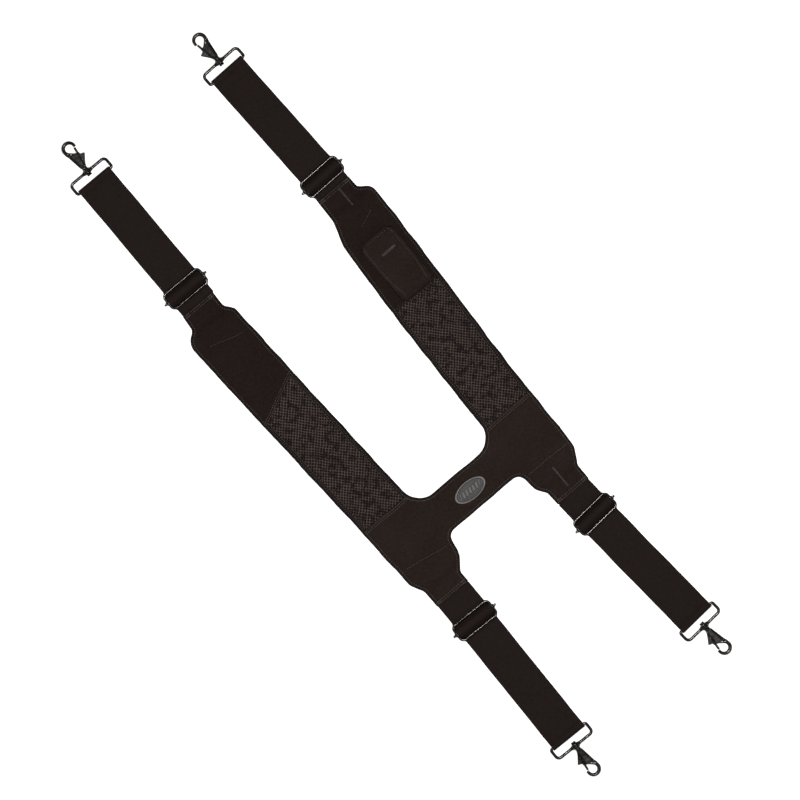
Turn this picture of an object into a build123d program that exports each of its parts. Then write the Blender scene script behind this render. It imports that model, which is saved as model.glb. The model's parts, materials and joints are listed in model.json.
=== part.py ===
from build123d import *
import math
import os

os.makedirs("parts", exist_ok=True)

# Padded H-shaped work suspenders, laid flat and face up. Millimetres.
# X is across the wearer, the front hooks point towards +Y, Z is up from the
# surface they lie on. Each corner has its own adjustable strap, slider and hook.

# layers of the padded yoke, as heights above the surface
lining_top = 0.9
foam_top = 7.0
cover_top = 8.2
tail_top = 2.3
tongue_top = 3.5
edge_tape = 1.2          # how far the edge tape reaches in from the outline
tail_gap = 3.4           # from the tongue's end to the sewn end of the webbing
tail_width = 40.0

# corners of the yoke's outline: x, y, corner radius, clockwise from the front left tongue
yoke_outline = [
    (-136.2, 261.5, 1.5), (-87.2, 261.5, 1.5), (-88.2, 238.5, 6), (-78.6, 226, 14),
    (-75.0, 110, 200), (-66.2, -112.3, 27),
    (60.2, -113.0, 27), (66.5, 76, 200), (74.6, 196, 40), (85.6, 228, 25),
    (86.8, 261.5, 1.5), (137.3, 261.5, 1.5), (137.6, 243, 5), (152.6, 232.5, 14),
    (151.8, 190, 150), (138.0, -50, 300), (134.2, -183, 22), (121.6, -203.5, 6),
    (121.4, -226.5, 1.5), (70.4, -226.5, 1.5), (69.6, -206, 6), (60.8, -194, 14),
    (59.0, -164.6, 12),
    (-59.5, -164.6, 12), (-63.5, -192, 22), (-77.9, -210.5, 4), (-77.8, -226.5, 1.5),
    (-128.8, -226.5, 1.5), (-129.0, -200, 5), (-138.0, -183, 25), (-141.5, -70, 300),
    (-152.6, 190, 150), (-152.8, 229, 18), (-138.5, 239, 6),
]
pad_front = 236.0        # where the padding stops and the flat tongue starts
pad_back = -204.8
riser = 1.2              # cover thickness where it steps down to a tongue
yoke_seam = -93.0        # seam between the mesh and the plain yoke panel
pocket_seam = 91.0       # seam between the mesh and the right chest panel
slant_mid = (-110.6, 101.5)      # slanted pen pocket edge on the left pad
slant_angle = 24.8
pad_split = (-67.5, 61.0)        # where the lining of a pad meets that of the bridge
reach = 400              # larger than half the yoke, for cutting regions

# badge on the bridge
badge_centre = (-2.0, -140.0)
badge_size = (47.0, 24.4)
badge_rim = 1.7
badge_thick = 1.3
badge_rim_rise = 0.7

# phone pocket on the right pad, its mouth towards the yoke
pouch_width = 48.5
pouch_centre_x = 112.6
pouch_mouth = 98.0
pouch_base = 178.0
pouch_height = 7.4
pouch_wall = 1.5
flap_hinge_y = 92.0
flap_hinge_z = 13.45
flap_bottom = 17.0
flap_thick = 1.4
flap_end = 182.0
flap_root = 12.4         # underside of the flap's stub above the mouth
flap_root_half = 20.3
flap_end_half = 24.9
flap_corner = 11.0
flap_stub = 39.0         # width of the stub
patch_size = (26.0, 22.0)
patch_y = 156.0
patch_thick = 0.6

# webbing and its hardware
web_width = 50.0
web = 1.4
layer_gap = 0.1
clear = 0.3
wire = 1.7               # slider frame wire radius
slide_length = 60.0
slide_depth = 26.0
slide_corner = 5.5
slide_z = 4.8
bar_radius = 1.5
crimp_radius = 2.9
crimp_length = 5.4
crimp_round = 0.7
knob_end = 34.0
wrap_reach = 15.0        # how far the wrapped webbing reaches each side of the bar
wrap_foot = 9.4          # where the wrap leaves the flat, inside the long bars

ring_wire = 1.8
ring_width = 59.6
ring_depth = 18.8
ring_inner_corner = 2.6
ring_outer_corner = 5.0
ring_z = 4.5
loop_reach = 18.0        # how far the end loop reaches back from the ring's bar

boss_radius = 4.5
boss_start = -3.2
boss_end = 3.8
boss_bore = 2.05
boss_round = 1.2
boss_taper = (5.2, 3.0, 5.0)     # middle, wide radius and length of the cone into each bar
stem_radius = 2.0
rivet_radius = 3.3
rivet_thick = 2.6
rivet_round = 0.9
axial_play = 0.25
collar_radius = 3.7
collar_end = 7.4
collar_round = 0.5

# hook, measured outwards from the ring's outer bar
eye_at = (0.6, 36.6)
eye_outer = 9.3
eye_inner = (0.9, 36.4)
eye_radius = 5.8
throat = (6.0, 25.6)
mouth = (26.0, 34.2)     # from the cheeks to the nose
hook_base = (4.3, 7.2)
hook_thick = 4.8
hook_round = 0.7
cheek_thick = 6.6
pivot = (4.4, 15.0)
pivot_eye = 2.5
gate_tip = (6.9, 33.5)
gate_half = 1.5
gate_thick = 2.5
slot_wide = 2.8
slot_ends = (11.0, 30.5)         # the gate's slot along the hook
slot_left = -2.2
pin_radius = 1.0
pin_clear = 0.05
spring_at = 21.5         # height of the spring along the hook
spring_from = -2.05
spring_to = 3.5
spring_radius = 0.85
spring_wire = 0.2
spring_turns = 6

# centre of each slider, centre of each ring, end of the tongue, which side the gate is on
corners = {
    "front_left": ((-110.6, 285.0), (-109.2, 470.0), 261.5, 1),
    "front_right": ((111.5, 281.0), (107.3, 467.6), 261.5, -1),
    "back_left": ((-104.2, -269.0), (-109.4, -463.5), -226.5, 1),
    "back_right": ((98.0, -265.0), (110.9, -454.0), -226.5, 1),
}


def save(shape, node):
    export_step(shape, "parts/" + node + ".step")


def layer(face, low, high):
    """a flat face made solid between two heights"""
    return Pos(0, 0, low) * extrude(face, amount=high - low)


def rounded(points):
    """closed flat face through corner points, each with its own radius"""
    line = FilletPolyline(*[(x, y) for x, y, _ in points], radius=[r for _, _, r in points], close=True)
    return make_face(line)


def strip(low, high, left=-reach, right=reach):
    """rectangle between two Y values, for cutting a region out of the outline"""
    return Pos((left + right) / 2, (low + high) / 2) * Rectangle(right - left, high - low)


def hull(*shapes):
    edges = []
    for shape in shapes:
        edges.extend(shape.edges())
    return make_hull(edges)


def spot(across, along, wide, high):
    return Pos(across, along) * Rectangle(wide, high)


# ---- yoke ----

def cover(region, front=False, back=False):
    """top fabric over the foam, with a riser down to a flat tongue at an open end"""
    low = pad_back if back else -reach
    high = pad_front if front else reach
    solid = layer(region & strip(low - riser, high + riser), foam_top, cover_top)
    if front:
        solid += layer(region & strip(pad_front, pad_front + riser), tail_top, cover_top)
        solid += layer(region & strip(pad_front, reach), tail_top, tongue_top)
    if back:
        solid += layer(region & strip(pad_back - riser, pad_back), tail_top, cover_top)
        solid += layer(region & strip(-reach, pad_back), tail_top, tongue_top)
    return solid


def make_yoke():
    outline = rounded(yoke_outline)
    inside = offset(outline, -edge_tape)
    padded = strip(pad_back, pad_front)
    left = strip(-reach, reach, -reach, 0)
    right = strip(-reach, reach, 0, reach)

    save(layer(inside & strip(-reach, reach, -reach, pad_split[0]), 0, lining_top), "lining_left")
    save(layer(inside & strip(-reach, reach, pad_split[1], reach), 0, lining_top), "lining_right")
    save(layer(inside & strip(-reach, reach, *pad_split), 0, lining_top), "lining_bridge")
    save(layer(inside & padded, lining_top, foam_top), "foam_core")

    rim = outline - inside
    tape = layer(rim & padded, 0, cover_top) + layer(rim - padded, 0, tongue_top)
    save(tape, "edge_binding")

    above = Pos(*slant_mid) * Rot(0, 0, slant_angle) * Pos(0, reach / 2) * Rectangle(reach, reach)
    left_face = inside & left & strip(yoke_seam, reach)
    right_face = inside & right & strip(yoke_seam, reach)
    save(cover(left_face & above, front=True), "chest_panel_left")
    save(cover(right_face & strip(pocket_seam, reach), front=True), "chest_panel_right")
    save(layer(left_face - above, foam_top, cover_top), "mesh_panel_left")
    save(layer(right_face & strip(yoke_seam, pocket_seam), foam_top, cover_top), "mesh_panel_right")
    save(cover(inside & strip(-reach, yoke_seam), back=True), "yoke_panel")


def make_badge():
    oval = Pos(*badge_centre) * Ellipse(badge_size[0] / 2, badge_size[1] / 2)
    middle = Pos(*badge_centre) * Ellipse(badge_size[0] / 2 - badge_rim, badge_size[1] / 2 - badge_rim)
    top = cover_top + badge_thick
    save(layer(oval, cover_top, top) + layer(oval - middle, top, top + badge_rim_rise), "badge")


def make_pocket():
    middle = (pouch_mouth + pouch_base) / 2
    length = pouch_base - pouch_mouth
    outer = Pos(pouch_centre_x, middle) * Rectangle(pouch_width, length)
    inner = Pos(pouch_centre_x, middle - pouch_wall) * Rectangle(pouch_width - 2 * pouch_wall, length)
    top = cover_top + pouch_height
    pouch = layer(outer, cover_top, top) - layer(inner, cover_top, top - pouch_wall + 0.1)
    save(pouch, "phone_pouch")

    x = pouch_centre_x
    flap_top = flap_bottom + flap_thick
    flap_face = rounded([
        (x - flap_root_half, flap_hinge_y, 1), (x - flap_end_half, flap_end, flap_corner),
        (x + flap_end_half, flap_end, flap_corner), (x + flap_root_half, flap_hinge_y, 1),
    ])
    flap = layer(flap_face, flap_bottom, flap_top)
    flap += Pos(x, flap_hinge_y + flap_thick / 2, (flap_root + flap_top) / 2) * Box(
        flap_stub, flap_thick, flap_top - flap_root)
    save(flap, "phone_flap")

    patch = Pos(x, patch_y) * Rectangle(*patch_size)
    save(layer(patch, top, top + patch_thick), "pouch_patch")
    save(layer(patch, flap_bottom - patch_thick, flap_bottom), "flap_patch")


# ---- one corner, drawn from the slider's centre with the strap running along +Y ----

def across_strap(profile):
    """a side profile drawn as (along, height), carried across the webbing's width"""
    return extrude(Plane.YZ * profile, amount=web_width / 2, both=True)


def band(start, end, low):
    return spot((start + end) / 2, low + web / 2, end - start, web)


def wrapped_webbing():
    """the webbing's fixed end sewn round the centre bar, and the run that passes over it"""
    low = lining_top
    mid = 2 * layer_gap + web
    bar = Pos(0, slide_z) * Circle(bar_radius + layer_gap + web)
    over = Pos(0, slide_z) * Circle(bar_radius + 2 * layer_gap + 2 * web)
    foot = 0.2
    outside = hull(over, spot(-wrap_foot, low + web / 2, foot, web),
                   spot(wrap_foot, mid + web / 2, foot, web))
    inside = hull(Pos(0, slide_z) * Circle(bar_radius + 2 * layer_gap + web),
                  spot(web - wrap_foot, low - web / 2, foot, web),
                  spot(wrap_foot - web, mid - web / 2, foot, web))
    above = spot(0, slide_z + 8, 40, 2 * (slide_z + 8) - 2 * (low + 0.05))
    hump = (outside - inside) & above
    hump += band(-wrap_reach, -wrap_foot, low) + band(wrap_foot, wrap_reach, mid)
    sewn = hull(bar, spot(wrap_foot, layer_gap + web / 2, foot, web))
    sewn -= hull(Pos(0, slide_z) * Circle(bar_radius + layer_gap),
                 spot(wrap_foot - 3 * web, layer_gap + web, foot, foot))
    sewn += band(wrap_foot, wrap_reach, layer_gap)
    return Compound([across_strap(hump - sewn), across_strap(sewn)])


def make_slider():
    half = slide_length / 2 - wire
    depth = slide_depth - 2 * wire
    path = Pos(0, 0, slide_z) * RectangleRounded(2 * half, depth, slide_corner)
    section = Plane(origin=(0, depth / 2, slide_z), x_dir=(0, 0, 1), z_dir=(1, 0, 0)) * Circle(wire)
    frame = sweep(section, path=path.face().outer_wire())
    bar = Pos(0, 0, slide_z) * Rot(0, 90, 0) * Cylinder(bar_radius, 2 * half)
    for side in (-1, 1):
        sleeve = Pos(side * half, 0, slide_z) * Rot(90, 0, 0) * Cylinder(crimp_radius, crimp_length)
        sleeve = fillet(sleeve.edges().filter_by(GeomType.CIRCLE), crimp_round)
        knob = Rot(0, 90, 0) * Cylinder(bar_radius, knob_end - half)
        knob = Pos(side * (half + knob_end) / 2, 0, slide_z) * knob
        knob = fillet(knob.faces().sort_by(Axis.X)[0 if side < 0 else -1].edges(), 0.9)
        bar += sleeve + knob
    for side in (-1, 1):
        bar -= Pos(side * half, 0, slide_z) * Rot(90, 0, 0) * Cylinder(wire + pin_clear, crimp_length + 1)
    return frame, bar


def make_ring():
    """ring drawn with its outer bar on the X axis and its webbing bar towards -Y"""
    half = ring_width / 2 - ring_wire
    depth = ring_depth - 2 * ring_wire
    line = FilletPolyline((half, 0), (-half, 0), (-half, -depth), (half, -depth),
                          radius=[ring_outer_corner, ring_outer_corner, ring_inner_corner, ring_inner_corner],
                          close=True)
    section = Plane(origin=(0, 0, 0), x_dir=(0, 0, 1), z_dir=(1, 0, 0)) * Circle(ring_wire)
    ring = sweep(section, path=line)
    boss = Rot(90, 0, 0) * Cylinder(boss_radius, boss_end - boss_start)
    boss = Pos(0, (boss_start + boss_end) / 2, 0) * fillet(boss.edges().filter_by(GeomType.CIRCLE), boss_round)
    middle, wide, length = boss_taper
    for side in (-1, 1):
        boss += Pos(side * middle, 0, 0) * Rot(0, side * 90, 0) * Cone(wide, ring_wire, length)
    bore = Rot(90, 0, 0) * Cylinder(boss_bore, 30)
    return (ring + boss) - bore


def hook_face():
    """outline of the hook seen from above: tapered body, round eye, open mouth"""
    face = hull(Pos(*eye_at) * Circle(eye_outer), spot(0, hook_base[1] + 1, 2 * hook_base[0], 2))
    face -= hull(Pos(*eye_inner) * Circle(eye_radius), spot(throat[0], throat[1], 0.4, 0.4))
    face -= spot(eye_at[0] + eye_radius + 3.2, (mouth[0] + mouth[1]) / 2, 8, mouth[1] - mouth[0])
    return face


def cheek_face():
    """the two cheeks that hold the gate's pin"""
    half, start = hook_base
    return rounded([
        (-half, start, 0.5), (-7.0, 27.0, 2), (-4.2, 31.0, 1.5), (throat[0] + 0.6, throat[1], 1),
        (8.6, 22.4, 1.5), (7.9, 14.2, 4), (half, 8.4, 2), (half, start, 0.5),
    ])


def make_hook():
    """hook drawn from the ring's outer bar, its length along +Y and its gate at +X"""
    body = extrude(hook_face(), amount=hook_thick / 2, both=True)
    body = fillet(body.faces().filter_by(Plane.XY).edges(), hook_round)
    cheeks = extrude(cheek_face(), amount=cheek_thick / 2, both=True)
    body += cheeks
    slot_right = eye_at[0] + eye_outer + 4
    low, high = slot_ends
    slot = rounded([(slot_left, low, 1), (slot_left, high, 1), (slot_right, high, 1), (slot_right, low, 1)])
    body -= extrude(slot, amount=slot_wide / 2, both=True)
    body -= Pos(pivot[0], pivot[1], 0) * Cylinder(pin_radius + 0.02, 20)

    rivet_start = boss_start - axial_play - rivet_thick
    collar_start = boss_end + axial_play
    stem = Pos(0, (rivet_start + hook_base[1]) / 2, 0) * Rot(90, 0, 0) * Cylinder(
        stem_radius, hook_base[1] - rivet_start)
    rivet = Pos(0, rivet_start + rivet_thick / 2, 0) * Rot(90, 0, 0) * Cylinder(rivet_radius, rivet_thick)
    rivet = fillet(rivet.edges().filter_by(GeomType.CIRCLE), rivet_round)
    collar = Pos(0, (collar_start + collar_end) / 2, 0) * Rot(90, 0, 0) * Cylinder(
        collar_radius, collar_end - collar_start)
    collar = fillet(collar.edges().filter_by(GeomType.CIRCLE), collar_round)
    return body + stem + rivet + collar


def make_gate():
    lean = math.degrees(math.atan2(gate_tip[0] - pivot[0], gate_tip[1] - pivot[1]))
    length = math.hypot(gate_tip[0] - pivot[0], gate_tip[1] - pivot[1])
    arm = Pos(*pivot) * Rot(0, 0, -lean) * Pos(0, length / 2) * Rectangle(2 * gate_half, length)
    tab = make_face(Polyline((6.2, 23.4), (9.2, 22.4), (12.9, 21.0), (12.2, 19.4), (7.4, 13.2), (4.6, 12.6),
                             close=True))
    face = arm + Pos(*pivot) * Circle(pivot_eye) + tab
    face = fillet(face.vertices().filter_by(lambda v: v.Y > gate_tip[1] - 1 or v.X > 12), 0.5)
    gate = extrude(face, amount=gate_thick / 2, both=True)
    return gate - Pos(pivot[0], pivot[1], 0) * Cylinder(pin_radius + pin_clear, 20)


def make_pin():
    pin = Pos(pivot[0], pivot[1], 0) * Cylinder(pin_radius, cheek_thick + 0.6)
    return fillet(pin.edges().filter_by(GeomType.CIRCLE), 0.35)


def make_spring():
    """compression spring between the hook's spine and the gate's arm"""
    length = spring_to - spring_from
    coil = Helix(pitch=length / (spring_turns + 0.5), height=length - 2 * spring_wire, radius=spring_radius)
    start = coil @ 0
    section = Plane(origin=start, z_dir=coil % 0) * Circle(spring_wire)
    spring = sweep(section, path=coil, is_frenet=True)
    return Pos(spring_from + spring_wire, spring_at, 0) * Rot(0, 90, 0) * spring


def ring_loop():
    """the fold of webbing round the ring's bar, drawn with that bar at the origin"""
    drop = -ring_z
    upper = 2 * layer_gap + 2 * web
    outside = hull(Circle(ring_wire + layer_gap + web),
                   spot(-loop_reach + 1, drop + layer_gap + web, 2, 2 * web + layer_gap))
    inside = hull(Circle(ring_wire + layer_gap),
                  spot(-loop_reach + 1, drop + (upper + layer_gap) / 2 - 0.05, 2.2, layer_gap))
    return across_strap(outside - inside)


def make_corner(name, slider_at, ring_at, tongue_y, side):
    run = math.dist(slider_at, ring_at)
    along = (ring_at[0] - slider_at[0], ring_at[1] - slider_at[1])
    angle = math.degrees(math.atan2(along[1], along[0])) - 90
    here = Pos(slider_at[0], slider_at[1], 0) * Rot(0, 0, angle)
    outer_bar = run + ring_depth / 2 - ring_wire
    web_bar = run - ring_depth / 2 + ring_wire
    skew = web_width / 2 * abs(along[0]) / run
    neck_start = clear - abs(tongue_y - slider_at[1]) + skew
    neck_end = -wrap_reach - clear

    frame, bar = make_slider()
    save(here * frame, name + "_slider_frame")
    save(here * bar, name + "_slider_bar")
    save(here * wrapped_webbing(), name + "_strap_wrap")

    neck = Box(web_width, neck_end - neck_start, web)
    save(here * Pos(0, (neck_start + neck_end) / 2, lining_top + web / 2) * neck, name + "_strap_neck")

    start = wrap_reach + clear
    end = web_bar - loop_reach - clear
    run_of_webbing = Box(web_width, end - start, web)
    levels = (layer_gap + web / 2, 2 * layer_gap + 1.5 * web)
    layers = [Pos(0, (start + end) / 2, z) * run_of_webbing for z in levels]
    save(here * Compound(layers), name + "_strap_doubled")
    save(here * Pos(0, web_bar, ring_z) * ring_loop(), name + "_strap_loop")

    at_bar = here * Pos(0, outer_bar, ring_z)
    flip = Rot(0, 0, 0) if side > 0 else Rot(0, 180, 0)
    save(at_bar * make_ring(), name + "_ring")
    save(at_bar * flip * make_hook(), name + "_hook_body")
    save(at_bar * flip * make_gate(), name + "_gate")
    save(at_bar * flip * make_pin(), name + "_gate_pin")
    save(at_bar * flip * make_spring(), name + "_gate_spring")


def make_tails():
    """the fixed ends of the webbing, sewn in between the lining and each tongue's cover"""
    tails = []
    for slider_at, ring_at, tongue_y, _ in corners.values():
        angle = math.degrees(math.atan2(ring_at[1] - slider_at[1], ring_at[0] - slider_at[0])) - 90
        tongue = abs(tongue_y - slider_at[1])
        edge = pad_front + riser if tongue_y > 0 else pad_back - riser
        length = abs(tongue_y - edge) - 2 * tail_gap
        tail = Pos(0, -tongue - length / 2 - tail_gap, (lining_top + tail_top) / 2) * Box(
            tail_width, length, tail_top - lining_top)
        tails.append(Pos(slider_at[0], slider_at[1], 0) * Rot(0, 0, angle) * tail)
    save(Compound(tails), "strap_tails")


make_yoke()
make_badge()
make_pocket()
make_tails()
for corner, (slider_place, ring_place, tongue_end, gate_side) in corners.items():
    make_corner(corner, slider_place, ring_place, tongue_end, gate_side)
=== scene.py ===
import bmesh
import bpy
import json
import math
import numpy as np
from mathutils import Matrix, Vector


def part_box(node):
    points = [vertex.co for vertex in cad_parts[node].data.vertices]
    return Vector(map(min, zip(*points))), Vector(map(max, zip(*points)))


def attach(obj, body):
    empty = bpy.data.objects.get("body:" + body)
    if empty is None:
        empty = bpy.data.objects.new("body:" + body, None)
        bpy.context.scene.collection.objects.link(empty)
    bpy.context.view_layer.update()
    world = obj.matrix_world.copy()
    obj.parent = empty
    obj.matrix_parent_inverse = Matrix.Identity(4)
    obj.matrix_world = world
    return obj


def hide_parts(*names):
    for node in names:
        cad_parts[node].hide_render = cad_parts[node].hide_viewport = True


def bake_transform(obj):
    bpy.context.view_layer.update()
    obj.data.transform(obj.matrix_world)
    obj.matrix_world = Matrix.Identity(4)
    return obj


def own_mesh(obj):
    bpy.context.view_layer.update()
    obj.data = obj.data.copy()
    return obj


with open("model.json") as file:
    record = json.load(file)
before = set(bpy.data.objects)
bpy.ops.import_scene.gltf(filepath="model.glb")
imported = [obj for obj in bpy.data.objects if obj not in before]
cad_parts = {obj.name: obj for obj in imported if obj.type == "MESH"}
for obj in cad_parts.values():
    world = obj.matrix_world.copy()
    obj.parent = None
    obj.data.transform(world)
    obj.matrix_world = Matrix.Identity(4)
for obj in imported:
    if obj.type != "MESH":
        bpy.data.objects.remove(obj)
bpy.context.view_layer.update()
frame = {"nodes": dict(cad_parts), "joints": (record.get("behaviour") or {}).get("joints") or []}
nodeObjects = frame["nodes"]
joints = {joint["name"]: joint for joint in frame["joints"]}
mm = 0.001
print("frame loaded:", len(nodeObjects), "nodes")


def addMesh(name, points, faces, material, uv=None):
    # points in millimetres, placed in metres in the frame
    mesh = bpy.data.meshes.new(name)
    mesh.from_pydata((np.asarray(points, float) * mm).tolist(), [], [list(f) for f in faces])
    if uv is not None:
        layer = mesh.uv_layers.new(name="weave")
        loopVerts = np.empty(len(mesh.loops), int)
        mesh.loops.foreach_get("vertex_index", loopVerts)
        layer.data.foreach_set("uv", np.asarray(uv, float)[loopVerts].ravel())
    mesh.polygons.foreach_set("use_smooth", [True] * len(mesh.polygons))
    mesh.update()
    piece = bpy.data.objects.new(name, mesh)
    bpy.context.collection.objects.link(piece)
    mesh.materials.append(material)
    return piece


def paint(piece, attribute, values):
    # one number for each point, for the finish to read
    layer = piece.data.attributes.new(attribute, "FLOAT", "POINT")
    layer.data.foreach_set("value", np.ravel(values).astype(np.float32))


def gridFaces(rows, cols, start=0, loopCols=False, flip=False):
    # quads between neighbouring points of a rows x cols grid, each row closing round where asked
    r = np.arange(rows - 1)
    c = np.arange(cols if loopCols else cols - 1)
    r, c = np.meshgrid(r, c, indexing="ij")
    rn, cn = r + 1, (c + 1) % cols
    quads = np.stack([r * cols + c, r * cols + cn, rn * cols + cn, rn * cols + c], -1).reshape(-1, 4)
    quads = quads[:, ::-1] if flip else quads
    return (quads + start).tolist()


def along(path):
    # running length of a polyline
    return np.concatenate([[0], np.cumsum(np.linalg.norm(np.diff(path, axis=0), axis=1))])


def resample(path, count):
    # the same polyline as evenly spaced points
    s = along(path)
    t = np.linspace(0, s[-1], count)
    return np.stack([np.interp(t, s, path[:, k]) for k in range(path.shape[1])], -1)


def smoothPath(points, count):
    # Catmull-Rom curve through the points, evenly spaced
    p = np.asarray(points, float)
    p = np.vstack([2 * p[0] - p[1], p, 2 * p[-1] - p[-2]])
    t = np.linspace(0, 1, 24, endpoint=False)[:, None]
    pieces = []
    for i in range(1, len(p) - 2):
        a, b, c, d = p[i - 1], p[i], p[i + 1], p[i + 2]
        bend = (2 * a - 5 * b + 4 * c - d) * t ** 2 + (3 * b - a - 3 * c + d) * t ** 3
        pieces.append(0.5 * (2 * b + (c - a) * t + bend))
    return resample(np.vstack(pieces + [p[-2:-1]]), count)


def ease(value, low, high):
    # 0 below low, 1 above high and a smooth S between
    t = np.clip((value - low) / (high - low), 0, 1)
    return t * t * (3 - 2 * t)


def ripple(x, y, seed, size):
    # soft uneven field from a few crossed waves, about -1 to 1
    rng = np.random.default_rng(seed)
    total = np.zeros_like(np.asarray(x, float))
    for _ in range(5):
        angle, phase, stretch = rng.uniform(0, math.pi), rng.uniform(0, 6.28), rng.uniform(0.6, 1.6)
        total += np.sin((np.cos(angle) * x + np.sin(angle) * y) * 6.28 / (size * stretch) + phase)
    return total / 3.2


class Wire:
    # wraps a socket so that shader maths reads as plain expressions
    def __init__(self, tree, socket):
        self.tree, self.socket = tree, socket

    def math(self, operation, *others):
        return self.tree.node("ShaderNodeMath", {"operation": operation}, [self, *others])

    def __add__(self, other):
        return self.math("ADD", other)

    def __sub__(self, other):
        return self.math("SUBTRACT", other)

    def __rsub__(self, other):
        return self.tree.node("ShaderNodeMath", {"operation": "SUBTRACT"}, [other, self])

    def __mul__(self, other):
        return self.math("MULTIPLY", other)

    __radd__ = __add__
    __rmul__ = __mul__

    def sin(self):
        return self.math("SINE")

    def abs(self):
        return self.math("ABSOLUTE")

    def clamp(self):
        return self.tree.node("ShaderNodeClamp", {}, [self])

    def above(self, edge, width):
        # soft step: 0 half a width below the edge, 1 half a width above it
        return ((self - edge) * (1 / width) + 0.5).clamp()


class Finish:
    # one material: a Principled shader and the nodes that feed it
    def __init__(self, name, **fixed):
        self.material = bpy.data.materials.new(name)
        self.material.use_nodes = True
        self.nodes, self.links = self.material.node_tree.nodes, self.material.node_tree.links
        self.shader = self.nodes["Principled BSDF"]
        for socket, value in fixed.items():
            self.shader.inputs[socket.replace("_", " ")].default_value = value

    def node(self, kind, settings, inputs=(), output=0):
        # any node: its settings first, then the links or values of its sockets
        made = self.nodes.new(kind)
        for key, value in settings.items():
            setattr(made, key, value)
        items = inputs.items() if isinstance(inputs, dict) else enumerate(inputs)
        for key, value in items:
            if isinstance(value, Wire):
                self.links.new(value.socket, made.inputs[key])
            else:
                made.inputs[key].default_value = value
        return Wire(self, made.outputs[output])

    def place(self, turn=0.0):
        # Object coordinates, turned about Z
        coords = self.node("ShaderNodeTexCoord", {}, output="Object")
        if turn:
            coords = self.node("ShaderNodeMapping", {}, {0: coords, "Rotation": (0, 0, turn)})
        return coords

    def uv(self):
        return self.node("ShaderNodeUVMap", {"uv_map": "weave"})

    def split(self, vector):
        parts = self.node("ShaderNodeSeparateXYZ", {}, [vector])
        return [Wire(self, part) for part in parts.socket.node.outputs]

    def carried(self, attribute):
        return self.node("ShaderNodeAttribute", {"attribute_name": attribute}, output="Fac")

    def noise(self, vector, scale, detail):
        return self.node("ShaderNodeTexNoise", {},
                         {"Vector": vector, "Scale": scale, "Detail": detail, "Roughness": 0.55})

    def mix(self, factor, first, second):
        # colours from first to second as the factor goes from 0 to 1
        first, second = ((*c, 1) if isinstance(c, tuple) else c for c in (first, second))
        return self.node("ShaderNodeMix", {"data_type": "RGBA"}, {0: factor, 6: first, 7: second}, output=2)

    def feed(self, socket, value):
        self.links.new(value.socket, self.shader.inputs[socket])

    def bump(self, height, strength, distance):
        self.feed("Normal", self.node("ShaderNodeBump", {},
                                      {"Height": height, "Strength": strength, "Distance": distance}))


# the hem entries set a band of painted shade along sewn sides: its width, its softness and how dark it is
clothLook = {"rough": 0.85, "specular": 0.1, "bump": 0.5, "bumpDepth": 0.00025,
             "hemWidth": 1.9, "hemSoftness": 1.4, "paintedHemShade": 0.45}


def wovenCloth(name, dark, light, pitch, turn=0.0, shadedHem=False):
    # plain weave: warp and weft waves cross, height is the product of two sines, plus lint and worn patches;
    # hemmed cloth gets painted shade where it folds under at a sewn side, by the inset attribute in
    # millimetres
    f = Finish(name, Specular_IOR_Level=clothLook["specular"])
    place = f.place(turn)
    x, y, _ = f.split(place)
    wave = (x * (6.283 / pitch)).sin() * (y * (6.283 / pitch)).sin()
    lint = f.noise(place, 900, 2)
    slub = f.noise(place, 330, 3)
    worn = f.noise(place, 22, 4)
    mask = (wave * 0.2 + lint * 0.3 + slub * 1.4 + worn - 0.98).clamp()
    colour = f.mix(mask, dark, light)
    if shadedHem:
        # painted shade where the cloth turns under at its sewn sides
        inset = f.carried("inset")
        shade = tuple(clothLook["paintedHemShade"] * level for level in dark)
        colour = f.mix(inset.above(clothLook["hemWidth"], clothLook["hemSoftness"]), shade, colour)
    f.feed("Base Color", colour)
    f.feed("Roughness", (worn * 0.2 + (clothLook["rough"] - 0.1)).clamp())
    f.bump(wave * 0.5 + lint * 0.6, clothLook["bump"], clothLook["bumpDepth"])
    return f.material


def strapWebbing(name, dark, light, rib, pick):
    # webbing on its own UV in metres: lengthwise ribs as folded sines, each crossed by picks that alternate
    f = Finish(name, Specular_IOR_Level=0.12)
    u, v, _ = f.split(f.uv())
    ribs = (u * (3.1416 / rib)).sin().abs()
    side = (u * (3.1416 / rib)).sin().math("SIGN") * 1.5708
    picks = (v * (6.283 / pick) + side).sin()
    place = f.place()
    lint = f.noise(place, 1100, 2)
    slub = f.noise(place, 300, 3)
    worn = f.noise(place, 30, 4)
    mask = (ribs * 0.22 + picks * 0.12 + lint * 0.35 + slub * 1.1 + worn * 0.8 - 0.94).clamp()
    f.feed("Base Color", f.mix(mask, dark, light))
    f.feed("Roughness", (worn * 0.25 + 0.58).clamp())
    f.bump(ribs * 0.6 + picks * 0.35 + lint * 0.15, 0.6, 0.0003)
    return f.material


def spacerMesh(name, holeShade, thread, light):
    # knitted mesh: colour follows the net attribute that the surface carries, from painted shade in the holes
    # to the thread, with a painted highlight on the raised thread tops that wear and patches break up
    f = Finish(name, Roughness=0.8, Specular_IOR_Level=clothLook["specular"])
    net = f.carried("net")
    place = f.place()
    worn = f.noise(place, 35, 3)
    lint = f.noise(place, 1500, 2)
    patchy = f.noise(place, 120, 4).above(0.46, 0.12)
    flattened = f.mix(patchy, tuple(0.45 * level for level in thread), thread)
    # the holes take the painted shade colour
    base = f.mix(net.above(0.4, 0.4), holeShade, flattened)
    # painted highlight on the raised thread tops, broken up by the worn noise and the patches
    raised = net.above(0.7, 0.5) * (worn + 0.15) * (patchy * 0.9 + 0.1)
    f.feed("Base Color", f.mix(raised.clamp(), base, light))
    f.bump(net * 0.3 + lint * 0.5, 0.5, 0.0003)
    return f.material


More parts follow.
